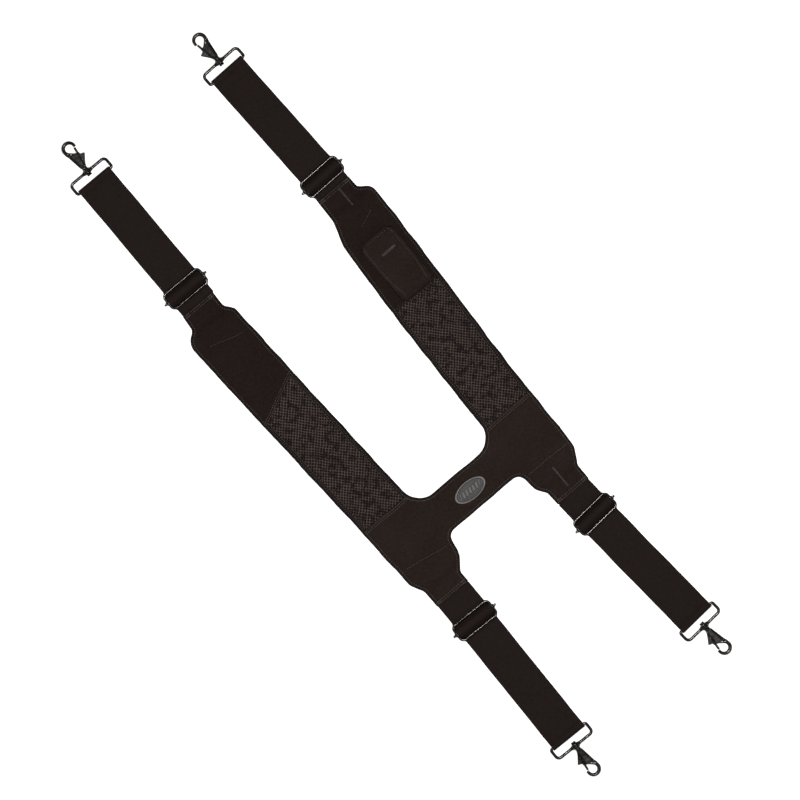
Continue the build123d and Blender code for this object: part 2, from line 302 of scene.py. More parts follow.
def platedMetal(name, colour, edge, rough):
    # plated metal: even dark plate with faint handling marks and slightly polished high spots
    f = Finish(name, Metallic=1.0)
    place = f.place()
    marks = f.noise(place, 260, 4)
    cloud = f.noise(place, 45, 3)
    f.feed("Base Color", f.mix((marks * 0.8 + cloud * 0.6 - 0.45).clamp(), colour, edge))
    f.feed("Roughness", (marks * 0.22 + cloud * 0.15 + rough - 0.16).clamp())
    f.bump(marks, 0.12, 0.0002)
    return f.material


def stitchThread(name, dark, light):
    # twisted thread: fine noise breaks up the strand
    f = Finish(name, Roughness=0.6)
    place = f.place()
    twist = f.noise(place, 2600, 2)
    f.feed("Base Color", f.mix(twist.above(0.5, 0.4), dark, light))
    f.bump(twist, 0.4, 0.0001)
    return f.material


def nubbyTape(name, dark, light, scale):
    # hook-and-loop tape: dense cells of loops, with painted shade in the gaps between them
    f = Finish(name, Roughness=0.9)
    place = f.place()
    cells = f.node("ShaderNodeTexVoronoi", {}, {"Vector": place, "Scale": scale})
    f.feed("Base Color", f.mix((cells * 1.6).clamp(), light, dark))
    f.bump(1 - cells, 0.8, 0.0005)
    return f.material


def mouldedBadge(name, ground, bars, rim):
    # soft rubber: dark ground, grey bars and a paler rim, following the raised attribute
    f = Finish(name)
    raised = f.carried("raised")
    place = f.place()
    grain = f.noise(place, 700, 3)
    field = f.mix(raised.above(0.3, 0.3), ground, bars)
    f.feed("Base Color", f.mix(raised.above(0.75, 0.2), field, rim))
    f.feed("Roughness", (grain * 0.3 + 0.4).clamp())
    f.bump(grain, 0.25, 0.0002)
    return f.material


colours = {"shell": ((0.0100, 0.0058, 0.0044), (0.0229, 0.0141, 0.0115)),
           "yoke": ((0.0137, 0.0083, 0.0064), (0.0311, 0.0204, 0.0172)),
           "web": ((0.0087, 0.0049, 0.0037), (0.0204, 0.0118, 0.0094)),
           "tape": ((0.0089, 0.0058, 0.0047), (0.0207, 0.0141, 0.0118)),
           "lining": ((0.0104, 0.0089, 0.0081), (0.0252, 0.0215, 0.0200)),
           "label": ((0.0370, 0.0311, 0.0289), (0.1110, 0.0977, 0.0903)),
           "nickel": ((0.02, 0.0178, 0.0172), (0.14, 0.13, 0.125)),
           "steel": ((0.3, 0.3, 0.31), (0.5, 0.5, 0.5)),
           "thread": ((0.034, 0.0265, 0.0228), (0.136, 0.11, 0.097)),
           "paleThread": ((0.0444, 0.0370, 0.0340), (0.1184, 0.1036, 0.0962)),
           "hookTape": ((0.0044, 0.0037, 0.0037), (0.0259, 0.0222, 0.0207)),
           # mesh: painted shade in the holes, the thread, and a painted highlight on the thread tops
           "mesh": ((0.0041, 0.0025, 0.0022), (0.0385, 0.0266, 0.0229), (0.0999, 0.0740, 0.0659)),
           "badge": ((0.0178, 0.0141, 0.0126), (0.111, 0.1036, 0.1), (0.192, 0.181, 0.174))}
weave = {"cloth": 0.0007, "tape": 0.0009, "lining": 0.0012, "label": 0.0005, "rib": 0.0013, "pick": 0.0016}
shell = wovenCloth("shell fabric", *colours["shell"], weave["cloth"], shadedHem=True)
yokeCloth = wovenCloth("yoke fabric", *colours["yoke"], weave["cloth"], shadedHem=True)
pocketCloth = wovenCloth("pocket fabric", *colours["yoke"], weave["cloth"])
pouchCloth = wovenCloth("pouch fabric", *colours["yoke"], weave["cloth"], shadedHem=True)
tapeCloth = wovenCloth("edge tape", *colours["tape"], weave["tape"], turn=0.78, shadedHem=True)
liningCloth = wovenCloth("lining tricot", *colours["lining"], weave["lining"])
labelCloth = wovenCloth("woven label", *colours["label"], weave["label"])
webbing = strapWebbing("strap webbing", *colours["web"], weave["rib"], weave["pick"])
airMesh = spacerMesh("air mesh", *colours["mesh"])
blackNickel = platedMetal("black nickel", *colours["nickel"], 0.2)
springSteel = platedMetal("spring steel", *colours["steel"], 0.3)
thread = stitchThread("thread", *colours["thread"])
paleThread = stitchThread("bar tack thread", *colours["paleThread"])
hookTape = nubbyTape("hook tape", *colours["hookTape"], 900)
rubber = mouldedBadge("badge rubber", *colours["badge"])
print("materials made")


# corners of the padded yoke: x, y, corner radius, clockwise from the front left tongue
yokeCorners = [
    (-136.2, 261.5, 1.5), (-87.2, 261.5, 1.5), (-88.2, 238.5, 6), (-78.6, 226, 14),
    (-75.0, 110, 200), (-66.2, -112.3, 27),
    (60.2, -113.0, 27), (66.5, 76, 200), (74.6, 196, 40), (85.6, 228, 25),
    (86.8, 261.5, 1.5), (137.3, 261.5, 1.5), (137.6, 243, 5), (152.6, 232.5, 14),
    (151.8, 190, 150), (138.0, -50, 300), (134.2, -183, 22), (121.6, -203.5, 6),
    (121.4, -226.5, 1.5), (70.4, -226.5, 1.5), (69.6, -206, 6), (60.8, -194, 14),
    (59.0, -164.6, 12),
    (-59.5, -164.6, 12), (-63.5, -192, 22), (-77.9, -210.5, 4), (-77.8, -226.5, 1.5),
    (-128.8, -226.5, 1.5), (-129.0, -200, 5), (-138.0, -183, 25), (-141.5, -70, 300),
    (-152.6, 190, 150), (-152.8, 229, 18), (-138.5, 239, 6),
]
# which corners bound each side, in the order above
sideCorners = {"leftOuter": (27, 34), "leftNeck": (1, 5), "leftBack": (23, 26), "rightNeck": (6, 10),
               "rightOuter": (11, 18), "rightBack": (19, 22), "bridgeTop": (5, 6), "bridgeBase": (22, 23)}


def cornerArc(i):
    # the arc of a corner: tangent to both straight sides, in even steps of angle
    count = len(yokeCorners)
    before, here, after = (np.array(yokeCorners[(i + k) % count][:2]) for k in (-1, 0, 1))
    radius = yokeCorners[i % count][2]
    inward = (here - before) / np.linalg.norm(here - before)
    outward = (after - here) / np.linalg.norm(after - here)
    turn = math.atan2(inward[0] * outward[1] - inward[1] * outward[0], inward @ outward)
    tangent = radius * math.tan(abs(turn) / 2)
    side = np.array([-inward[1], inward[0]]) * math.copysign(1, turn)
    start = here - inward * tangent
    a = np.linspace(0, abs(turn), max(3, int(abs(turn) / 0.12) + 2))[:, None]
    return start + radius * (inward * np.sin(a) + side * (1 - np.cos(a)))


def sideChain(name):
    # one side of the outline, from corner to corner
    first, last = sideCorners[name]
    return np.vstack([cornerArc(i) for i in range(first, last + 1)])


chains = {name: sideChain(name) for name in sideCorners}
openNames = ("leftOuter", "leftNeck", "rightNeck", "rightOuter", "rightBack", "leftBack",
             "bridgeTop", "bridgeBase")
openSides = [chains[name] for name in openNames]


def edgeDistance(x, y):
    # distance from each point to the nearest sewn side of the yoke; the tongues' open ends don't count
    p = np.stack([np.ravel(x), np.ravel(y)], -1)
    a = np.vstack([c[:-1] for c in openSides])
    d = np.vstack([np.diff(c, axis=0) for c in openSides])
    square = np.maximum((d ** 2).sum(1), 1e-9)
    best = np.empty(len(p))
    for start in range(0, len(p), 4000):
        rel = p[start:start + 4000, None] - a
        t = np.clip((rel * d).sum(2) / square, 0, 1)
        best[start:start + 4000] = np.sqrt(((rel - d * t[..., None]) ** 2).sum(2).min(1))
    return best.reshape(np.shape(x))


def chainX(name, y):
    # where a side is at each y
    c = chains[name][np.argsort(chains[name][:, 1], kind="stable")]
    return np.interp(y, c[:, 1], c[:, 0])


def chainY(name, x):
    # where a side is at each x
    c = chains[name][np.argsort(chains[name][:, 0], kind="stable")]
    return np.interp(x, c[:, 0], c[:, 1])


# where the bridge's patch meets the pads' patches, and the y that parts each pad's neck side from its back
bridgeEnds = (-59.6, 58.6)
bridgeMiddle = -138.0


def padEdges(side, y):
    # outer and inner edge of a pad at each y, the inner one stopping at the bridge's patch
    if side == "left":
        inner = np.where(y > bridgeMiddle, chainX("leftNeck", y), chainX("leftBack", y))
        return chainX("leftOuter", y), np.minimum(inner, bridgeEnds[0])
    inner = np.where(y > bridgeMiddle, chainX("rightNeck", y), chainX("rightBack", y))
    return np.maximum(inner, bridgeEnds[1]), chainX("rightOuter", y)


def settle(points):
    # soft goods never lie dead straight: a slow sideways drift, the same for everything sewn to the yoke
    points = np.array(points, float)
    x, y = points[..., 0].copy(), points[..., 1].copy()
    near = ease(238 - y, 0, 20) * ease(y + 208, 0, 20)
    points[..., 0] += (0.45 * ripple(x, y, 51, 30) + 0.2 * ripple(x, y, 53, 13)) * near
    points[..., 1] += (0.45 * ripple(x, y, 52, 34)) * near
    return points


tongueTips = {"front": 261.5, "back": -226.5}     # open ends of the tongues, where the straps come out
pad = {"edgeHeight": 2.4, "edgeRound": 4.2, "height": 8.3, "crown": 1.1, "crownReach": 24.0,
       "tongueHeight": 3.6, "tongueEdge": 1.6, "front": 236.0, "back": -204.8, "step": 11.0,
       "yokeSeam": -93.0, "pocketSeam": 91.0, "slant": 0.4624, "slantX": -110.6, "slantY": 101.5,
       "hem": 4.0, "band": 7.6, "cloth": 0.9}


# short straight seams, from end to end
seamLines = (((-138, 210.5), (-88, 195)), ((133, 210), (107, 200)),
             ((-132, -163), (-66, -175.2)), ((62, -173), (134, -174)))


def seamGroove(x, y):
    # shallow channels along the short straight seams, fading at their ends
    depth = np.zeros_like(np.asarray(x, float))
    for (x0, y0), (x1, y1) in seamLines:
        run = np.array([x1 - x0, y1 - y0])
        length = np.linalg.norm(run)
        run = run / length
        t = (x - x0) * run[0] + (y - y0) * run[1]
        off = (x - x0) * run[1] - (y - y0) * run[0]
        depth -= 0.9 * np.exp(-(off / 1.5) ** 2) * ease(t, -2, 4) * ease(length - t, -2, 4)
    return depth


def tongueShare(y):
    # 0 on the padding and 1 on the flat tongues at both ends
    return np.maximum(ease(y, pad["front"] - pad["step"], pad["front"] + 3),
                      ease(-y, -pad["back"] - pad["step"], -pad["back"] + 3))


def paddedHeight(x, y, edge):
    # top of the cover: a quarter-circle edge rising to a crowned middle, flat at the tongues. Sewn channels
    # are narrow bell curves, puckers are sines that fade from the seams, and wrinkles are soft ripples
    tongue = tongueShare(y)
    crown = pad["crown"] * ease(edge, 3, pad["crownReach"]) + 0.35 * ripple(x, y, 5, 70) * ease(edge, 6, 20)
    full = (pad["height"] + crown) * (1 - tongue) + pad["tongueHeight"] * tongue
    low = pad["edgeHeight"] * (1 - tongue) + pad["tongueEdge"] * tongue
    t = np.clip(edge / pad["edgeRound"], 0, 1)
    top = low + (full - low) * np.sqrt(np.clip(1 - (1 - t) ** 2, 0, 1))
    top -= (1 - tongue) * np.exp(-((edge - pad["hem"]) / 1.3) ** 2)
    seamY = np.abs(y - pad["yokeSeam"])
    top -= 1.5 * np.exp(-(seamY / 2.4) ** 2)
    pucker = 0.3 * np.sin(x / 1.9 + 2 * ripple(x, y, 9, 30)) * np.exp(-seamY / 6)
    fromHem = np.abs(edge - pad["hem"])
    pucker += 0.26 * np.sin((x + y) / 2.1 + 2 * ripple(x, y, 3, 26)) * np.exp(-fromHem / 3.5)
    wrinkles = 0.55 * ripple(x, y, 11, 34) + 0.3 * ripple(x, y, 13, 15)
    return top + pucker + wrinkles * ease(edge, 2, 9) * (1 - 0.6 * tongue) + seamGroove(x, y)


def clusteredColumns(left, right, inner, reach):
    # columns close together within reach of both edges and even between them
    turn = np.linspace(0, math.pi / 2, 8)
    close = reach * (1 - np.cos(turn))
    middle = np.linspace(0, 1, inner)[1:-1]
    left, right = left[:, None], right[:, None]
    between = left + reach + (right - left - 2 * reach) * middle
    return np.concatenate([left + close, between, right - close[::-1]], 1)


def padPatch(side, rows, inner, reach=pad["edgeRound"], trim=0.0, slantLow=False, slantHigh=False):
    # grid of x, y over a stretch of a pad; a slanted end shears its rows, fading to none at the other end
    rows = np.asarray(rows, float)
    outer, inside = padEdges(side, rows)
    x = clusteredColumns(outer + trim, inside - trim, inner, reach)
    y = np.repeat(rows[:, None], x.shape[1], 1)
    if slantLow or slantHigh:
        w = (rows - rows[0]) / (rows[-1] - rows[0])
        fade = (1 - w) if slantLow else w
        share = (x - x[:, :1]) / (x[:, -1:] - x[:, :1])
        for _ in range(2):
            y = rows[:, None] + pad["slant"] * (x - pad["slantX"]) * fade[:, None]
            a, b = padEdges(side, y)
            x = (a + trim) + (b - a - 2 * trim) * share
    return x, y


def coverPiece(name, patches, material):
    # sewn cover: the patches' points lifted to the padded height, joined where they meet, then thickened
    points, faces, insets = [], [], []
    start = 0
    for x, y in patches:
        inset = edgeDistance(x, y)
        z = paddedHeight(x, y, inset)
        points.append(np.stack([x, y, z], -1).reshape(-1, 3))
        faces += gridFaces(*x.shape, start=start)
        insets.append(inset.ravel())
        start += x.size
    piece = addMesh(name, settle(np.vstack(points)), faces, material)
    paint(piece, "inset", np.concatenate(insets))
    weld(piece)
    return thicken(piece, pad["cloth"] * mm)


def weld(piece, gap=2e-5):
    # points nearer to each other than the gap in metres become one
    bm = bmesh.new()
    bm.from_mesh(piece.data)
    bmesh.ops.remove_doubles(bm, verts=bm.verts, dist=gap)
    bm.to_mesh(piece.data)
    bm.free()


def thicken(piece, thickness):
    # cloth thickness below the modelled face
    solid = piece.modifiers.new("thickness", "SOLIDIFY")
    solid.thickness = thickness
    solid.offset = -1
    return piece


def rowsBetween(low, high, step):
    return np.linspace(low, high, max(2, int(round((high - low) / step)) + 1))


def bridgePatch(across):
    # ruled patch between the bridge's lower and upper edge
    x = rowsBetween(*bridgeEnds, 1.4)
    low, high = chainY("bridgeBase", x), chainY("bridgeTop", x)
    y = low[:, None] + (high - low)[:, None] * across
    return np.repeat(x[:, None], len(across), 1), y


def yokePatches(topRow, step, inner):
    # left lobe, bridge and right lobe, with shared points where they meet
    turn = np.linspace(0, math.pi / 2, 8)
    close = pad["edgeRound"] / 60 * (1 - np.cos(turn))
    across = np.concatenate([close, np.linspace(close[-1], 1 - close[-1], 36)[1:-1], 1 - close[::-1]])
    patches = []
    for side, x in zip(("left", "right"), bridgeEnds):
        low, high = chainY("bridgeBase", x), chainY("bridgeTop", x)
        rows = np.concatenate([rowsBetween(tongueTips["back"], low, step)[:-1], low + (high - low) * across,
                               rowsBetween(high, topRow, step)[1:]])
        patches.append(padPatch(side, rows, inner))
    bx, by = bridgePatch(across)
    patches.insert(1, (bx.T, by.T))
    return patches


coverYoke = coverPiece("yokePanel", yokePatches(pad["yokeSeam"], 1.6, 40), yokeCloth)
chestRows = rowsBetween(pad["slantY"], tongueTips["front"], 1.4)
coverChestLeft = coverPiece("chestPanelLeft", [padPatch("left", chestRows, 48, slantLow=True)], shell)
chestRows = rowsBetween(pad["pocketSeam"], tongueTips["front"], 1.4)
coverChestRight = coverPiece("chestPanelRight", [padPatch("right", chestRows, 48)], shell)
print("covers made")

net = {"across": 4.7, "along": 5.1, "depth": 0.8, "sink": 0.75, "tuck": 3.0, "step": 0.55}


def netHeight(x, y):
    # knitted net: two families of crossing diagonal threads, 1 on a thread and 0 in the middle of a hole
    p = x / net["across"] + 0.12 * np.sin(y / 31)
    q = y / net["along"] + 0.1 * np.sin(x / 17)
    first = np.abs(((p + q) % 1) - 0.5) * 2
    second = np.abs(((p - q) % 1) - 0.5) * 2
    return np.clip((np.maximum(first, second) - 0.5) * 2.6, 0, 1)


def meshPiece(name, side, rows, slantHigh=False):
    x, y = padPatch(side, rows, 112, reach=0.6, trim=pad["band"] - 1.5, slantHigh=slantHigh)
    raised = netHeight(x, y)
    z = paddedHeight(x, y, edgeDistance(x, y)) - net["sink"] + net["depth"] * raised
    piece = addMesh(name, settle(np.stack([x, y, z], -1).reshape(-1, 3)), gridFaces(*x.shape), airMesh)
    paint(piece, "net", raised)
    return piece


meshStart = pad["yokeSeam"] - net["tuck"]
meshRows = rowsBetween(meshStart, pad["slantY"] + net["tuck"], net["step"])
airLeft = meshPiece("airMeshLeft", "left", meshRows, slantHigh=True)
meshRows = rowsBetween(meshStart, pad["pocketSeam"] + net["tuck"], net["step"])
airRight = meshPiece("airMeshRight", "right", meshRows)
print("air mesh made")


def edgeBand(name, side, leftEdge, high):
    # smooth tape over the pad's long edge, from the rounded side to the mesh, a little proud of it
    rows = rowsBetween(pad["yokeSeam"] - 1, high + 2, 1.6)
    a, b = padEdges(side, rows)
    edge, inwardSign = (a, 1) if leftEdge else (b, -1)
    turn = np.linspace(0, math.pi / 2, 8)
    close = pad["edgeRound"] * (1 - np.cos(turn))
    offsets = np.concatenate([close, np.linspace(pad["edgeRound"], pad["band"], 7)[1:]])
    x = edge[:, None] + inwardSign * offsets
    y = np.repeat(rows[:, None], len(offsets), 1)
    inset = edgeDistance(x, y)
    z = paddedHeight(x, y, inset) + 0.15
    z[:, -1] -= 0.7
    points = settle(np.stack([x, y, z], -1).reshape(-1, 3))
    piece = addMesh(name, points, gridFaces(*x.shape, flip=inwardSign < 0), tapeCloth)
    paint(piece, "inset", inset)
    return thicken(piece, 0.7 * mm)


def slantAt(x):
    # the pen pocket's slanted mouth
    return pad["slantY"] + pad["slant"] * (x - pad["slantX"])


bands = [edgeBand("edgeTapeLeftOuter", "left", True, slantAt(-150)),
         edgeBand("edgeTapeLeftInner", "left", False, slantAt(-75)),
         edgeBand("edgeTapeRightInner", "right", True, pad["pocketSeam"]),
         edgeBand("edgeTapeRightOuter", "right", False, pad["pocketSeam"])]


def liningHeight(y, edge):
    # underside: flat where it rests, turning up at the sewn edge
    tongue = tongueShare(y)
    low = pad["edgeHeight"] * (1 - tongue) + pad["tongueEdge"] * tongue
    t = np.clip(edge / 2.6, 0, 1)
    return low * (1 - np.sqrt(np.clip(1 - (1 - t) ** 2, 0, 1)))


def liningPiece():
    # underside of both pads and the bridge in one, joined where its patches meet
    points, faces, start = [], [], 0
    padRows = rowsBetween(pad["yokeSeam"], tongueTips["front"], 3.5)
    pads = [padPatch(side, padRows, 20) for side in ("left", "right")]
    for x, y in yokePatches(pad["yokeSeam"], 3.5, 20) + pads:
        z = liningHeight(y, edgeDistance(x, y))
        points.append(np.stack([x, y, z], -1).reshape(-1, 3))
        faces += gridFaces(*x.shape, start=start, flip=True)
        start += x.size
    piece = addMesh("lining", settle(np.vstack(points)), faces, liningCloth)
    weld(piece)
    return thicken(piece, 0.7 * mm)


lining = liningPiece()


stitchSize = {"pitch": 3.3, "length": 2.5, "radius": 0.32}


def stitchesAlong(name, paths, material, pitch=stitchSize["pitch"], length=stitchSize["length"],
                  radius=stitchSize["radius"], turn=0.0):
    # each stitch is a short arched strand: a six-sided tube, thick in the middle and sunk at its ends
    middles, tangents = [], []
    for path in paths:
        total = along(path)[-1]
        count = max(1, int(total / pitch))
        fine = resample(path, count * 4 + 1)
        middles.append(fine[2::4][:count])
        tangents.append((fine[3::4] - fine[1::4])[:count])
    middle, tangent = np.vstack(middles), np.vstack(tangents)
    tangent /= np.linalg.norm(tangent, axis=1)[:, None]
    c, s = math.cos(turn), math.sin(turn)
    tx, ty, tz = tangent.T
    tangent = np.stack([c * tx - s * ty, s * tx + c * ty, tz * c], -1)
    side = np.cross(tangent, [0, 0, 1.0])
    side /= np.linalg.norm(side, axis=1)[:, None]
    up = np.cross(side, tangent)
    stations = np.array([-0.5, -0.36, 0, 0.36, 0.5])
    girth = np.array([0.25, 0.85, 1, 0.85, 0.25]) * radius
    lift = np.array([-0.9, -0.1, 0.35, -0.1, -0.9]) * radius
    angle = np.arange(6) / 6 * 2 * math.pi
    ring = np.stack([np.cos(angle), np.sin(angle)], -1)
    points = (middle[:, None, None] + tangent[:, None, None] * (stations * length)[None, :, None, None]
              + side[:, None, None] * (girth[:, None] * ring[:, 0])[None, ..., None]
              + up[:, None, None] * (lift[:, None] + girth[:, None] * ring[:, 1])[None, ..., None])
    count = len(middle)
    one = np.array(gridFaces(5, 6, loopCols=True, flip=True))
    faces = (one[None] + np.arange(count)[:, None, None] * 30).reshape(-1, 4).tolist()
    caps = np.array([[0, 1, 2, 3, 4, 5], [29, 28, 27, 26, 25, 24]])
    faces += (caps[None] + np.arange(count)[:, None, None] * 30).reshape(-1, 6).tolist()
    return addMesh(name, points.reshape(-1, 3), faces, material)


def onCover(path, lift=0.12):
    # a flat path laid on the cover
    z = paddedHeight(path[:, 0], path[:, 1], edgeDistance(path[:, 0], path[:, 1]))
    return settle(np.column_stack([path, z + lift]))


def insetChain(name, inset, low, high):
    # a side moved inwards, without the points that come too near to another side
    c = resample(chains[name], int(along(chains[name])[-1] / 1.5) + 2)
    t = np.gradient(c, axis=0)
    t /= np.linalg.norm(t, axis=1)[:, None]
    moved = c + inset * np.stack([t[:, 1], -t[:, 0]], -1)
    clear = edgeDistance(moved[:, 0], moved[:, 1]) > inset - 0.08
    return moved[clear & (moved[:, 1] > low) & (moved[:, 1] < high)]


hemPaths = [onCover(insetChain(n, pad["hem"], tongueTips["back"] + 1.5, tongueTips["front"] - 1.5))
            for n in openNames]
bandEnds = {"leftOuter": 84, "leftNeck": 116, "rightNeck": pad["pocketSeam"], "rightOuter": pad["pocketSeam"]}
bandPaths = [onCover(insetChain(n, pad["band"] - 1.0, pad["yokeSeam"], high), 0.25)
             for n, high in bandEnds.items()]
seamPaths = []
for side in ("left", "right"):
    for dy in (-2.2, -5.0):
        a, b = padEdges(side, np.array([pad["yokeSeam"]]))
        x = rowsBetween(a[0] + 3, b[0] - 3, 2)
        seamPaths.append(onCover(np.stack([x, np.full_like(x, pad["yokeSeam"] + dy)], -1)))
for dy in (2.2, 5.0):
    x = rowsBetween(-146.5, -78.5, 2)
    seamPaths.append(onCover(np.stack([x, slantAt(x) + dy], -1)))
for start, stop in np.array(seamLines, float):
    clear = 0.06 * (stop - start)
    seamPaths.append(onCover(np.linspace(start + clear, stop - clear, 40)))
hemStitches = stitchesAlong("hemStitches", hemPaths, thread)
bandStitches = stitchesAlong("bandStitches", bandPaths, thread)
seamStitches = stitchesAlong("seamStitches", seamPaths, thread)
print("stitches made")


strap = {"width": 50.0, "thick": 1.4, "wrapReach": 15.0, "loopReach": 18.0, "ribs": 19, "ribDepth": 0.07,
         "neckLevel": 1.6, "backLevel": 0.85, "frontLevel": 2.3, "ringHeight": 4.5, "bend": 2.85}
cornerNames = ("front_left", "front_right", "back_left", "back_right")
tongueEnds = {name: tongueTips[name.split("_")[0]] for name in cornerNames}


def cornerFrame(name):
    # origin at the slider, unit vectors along and across the strap, and where the ring's bars are along it
    axis = np.array(joints[name + "_slider"]["axis"][:2])
    low, high = (np.array(corner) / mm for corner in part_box(name + "_slider_bar"))
    origin = ((low + high) / 2)[:2]
    webBar, outerBar = ((np.array(joints[name + end]["pos_m"][:2]) / mm - origin) @ axis
                        for end in ("_ring", "_hook"))
    return {"origin": origin, "axis": axis, "across": np.array([axis[1], -axis[0]]),
            "webBar": webBar, "outerBar": outerBar}


frames = {name: cornerFrame(name) for name in cornerNames}


def fromStrap(f, across, alongStrap, z):
    # from the strap's own directions to the frame's
    xy = f["origin"] + np.multiply.outer(across, f["across"]) + np.multiply.outer(alongStrap, f["axis"])
    return np.concatenate([xy, np.asarray(z, float)[..., None]], -1)


def webProfile():
    # cross-section of webbing: shallow lengthwise ribs on both faces and a rounded selvage
    half, thin = strap["width"] / 2, strap["thick"] / 2
    x = np.linspace(-half + thin, half - thin, 77)
    rib = strap["ribDepth"] * np.abs(np.sin(x / half * math.pi * strap["ribs"] / 2))
    turn = np.linspace(0, math.pi, 7)[1:-1]
    right = np.stack([half - thin + thin * np.sin(turn), thin * np.cos(turn)], -1)
    top = np.stack([x, thin - strap["ribDepth"] + rib], -1)
    return np.vstack([top, right, -top, -right])


def webStrip(name, f, path, seed, widen=0.0, tuck=0.0, creases=0.0):
    # webbing profile carried along a side path of (along, height); its edges wander slightly. It may swell
    # midway, draw in over the first millimetres where it is tucked into a seam, and carry fine cross creases
    distance = along(path)
    tangent = np.gradient(path, axis=0)
    tangent /= np.linalg.norm(tangent, axis=1)[:, None]
    normal = np.stack([-tangent[:, 1], tangent[:, 0]], -1)
    profile = webProfile()
    wander = (0.05 if widen else 0.25) * ripple(path[:, 0] + 300, 0, seed, 60)
    swell = 1 + widen / strap["width"] * ease(distance, 0, 5) * ease(distance[-1] - distance, 0, 5)
    swell -= tuck * ease(-distance, -16, -12)
    across = profile[None, :, 0] * swell[:, None] + wander[:, None]
    fold = creases * ease(distance, 14, 20) * ease(distance[-1] - distance, 0, 3)
    sway = 1.5 * ripple(across, path[:, :1] * 1.5, seed + 7, 45)
    lift = fold[:, None] * np.sin(distance[:, None] * 1.7 + sway)
    u = path[:, None, 0] + normal[:, None, 0] * profile[None, :, 1]
    z = path[:, None, 1] + normal[:, None, 1] * profile[None, :, 1] + lift
    points = fromStrap(f, across, u, z)
    rows, cols = across.shape
    faces = gridFaces(rows, cols, loopCols=True)
    faces += [list(range(cols))[::-1], list(range((rows - 1) * cols, rows * cols))]
    uv = np.stack([across * mm, np.repeat((path[0, 0] + distance)[:, None], cols, 1) * mm], -1).reshape(-1, 2)
    piece = addMesh(name, points.reshape(-1, 3), faces, webbing, uv=uv)
    return piece


def makeStrap(name, seed):
    # one corner's webbing: out of the tongue, over the slider's bar, doubled to the ring and round it. Each
    # stretch overlaps the next by a millimetre, a hair lower
    f = frames[name]
    reach, ring, level = strap["wrapReach"], strap["ringHeight"], strap["neckLevel"]
    tongue = abs(tongueEnds[name] - f["origin"][1]) / abs(f["axis"][1])
    neckPath = np.array([(-tongue - 16, level), (-reach + 1, level - 0.02)])
    neck = webStrip(name + "_neck", f, resample(neckPath, 90), seed, tuck=0.1, creases=0.12)
    front, rear = strap["frontLevel"], strap["backLevel"]
    hump = smoothPath([(-reach, level), (-12.4, level), (-9.6, 1.7), (-7.4, 3.2), (-5.2, 5.9), (-2.9, 8.0),
                       (0, 8.75), (2.9, 8.05), (5.2, 6.2), (7.4, 3.9), (9.6, 2.45), (12.4, front),
                       (reach, front)], 60)
    over = webStrip(name + "_wrap", f, hump, seed + 1, widen=3.4)
    sewn = smoothPath([(reach, rear), (11, rear), (6, 1.25), (2, 2.3), (-0.8, 2.7), (-2.1, 3.8), (-2.3, 5.2),
                       (-1.5, 6.6), (0.4, 7.05), (2.2, 6.1), (3.6, 4.6), (5.4, 3.1), (7.2, 2.4)], 60)
    sewnEnd = webStrip(name + "_sewn_end", f, sewn, seed + 2)

    end = f["webBar"] - strap["loopReach"]
    lines = []
    for label, height in (("front", front), ("rear", rear)):
        run = np.stack([np.linspace(reach - 1, end + 1, 90), np.full(90, height - 0.02)], -1)
        lines.append(webStrip(f"{name}_{label}_run", f, run, seed + 3))
    turn = np.linspace(math.radians(100), math.radians(-100), 11)
    bend = np.stack([f["webBar"] + strap["bend"] * np.cos(turn), ring + strap["bend"] * np.sin(turn)], -1)
    rise = [(0, front), (3, 2.35), (7, 2.75), (11, 4.2), (14.6, 6.3)]
    fall = [(13, 1.35), (8, 0.95), (3, 0.86), (0, rear)]
    loop = smoothPath([(end + x, z) for x, z in rise] + bend.tolist() + [(end + x, z) for x, z in fall], 90)
    endLoop = webStrip(name + "_end_loop", f, loop, seed + 4)

    body = name + "_slider"
    start = fromStrap(f, 0.0, -tongue, level) * mm
    stop = fromStrap(f, 0.0, -reach, level) * mm
    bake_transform(neck)
    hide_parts(name + "_strap_neck")
    for piece in (over, sewnEnd):
        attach(piece, body)
    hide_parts(name + "_strap_wrap")
    start = fromStrap(f, 0.0, reach, level) * mm
    stop = fromStrap(f, 0.0, end, level) * mm
    for piece in lines:
        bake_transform(piece)
        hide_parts(name + "_strap_doubled")
    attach(endLoop, name + "_strap_end")
    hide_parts(name + "_strap_loop")


for number, name in enumerate(cornerNames):
    makeStrap(name, 20 + 10 * number)
print("straps made")


tackPaths, tongueRows = [], []
for name in cornerNames:
    f = frames[name]
    sign = 1 if tongueEnds[name] > 0 else -1
    y = tongueEnds[name] - sign * np.array([2.6, 5.4])
    a, b = padEdges("left" if f["origin"][0] < 0 else "right", y)
    for k in (0, 1):
        x = rowsBetween(a[k] + 3.5, b[k] - 3.5, 2)
        tongueRows.append(onCover(np.stack([x, np.full_like(x, y[k])], -1)))
        for x0, x1 in ((a[k] + 1.8, a[k] + 9), (b[k] - 9, b[k] - 1.8)):
            x = rowsBetween(x0, x1, 1)
            tackPaths.append(onCover(np.stack([x, np.full_like(x, y[k])], -1), 0.3))
tongueStitches = stitchesAlong("tongueStitches", tongueRows, thread)
barTacks = stitchesAlong("barTacks", tackPaths, paleThread, pitch=0.75, length=1.9, radius=0.22, turn=1.25)


badgeShape = {"halfWide": 23.5, "halfHigh": 12.2, "rim": 1.7, "base": 1.2, "rise": 0.7}


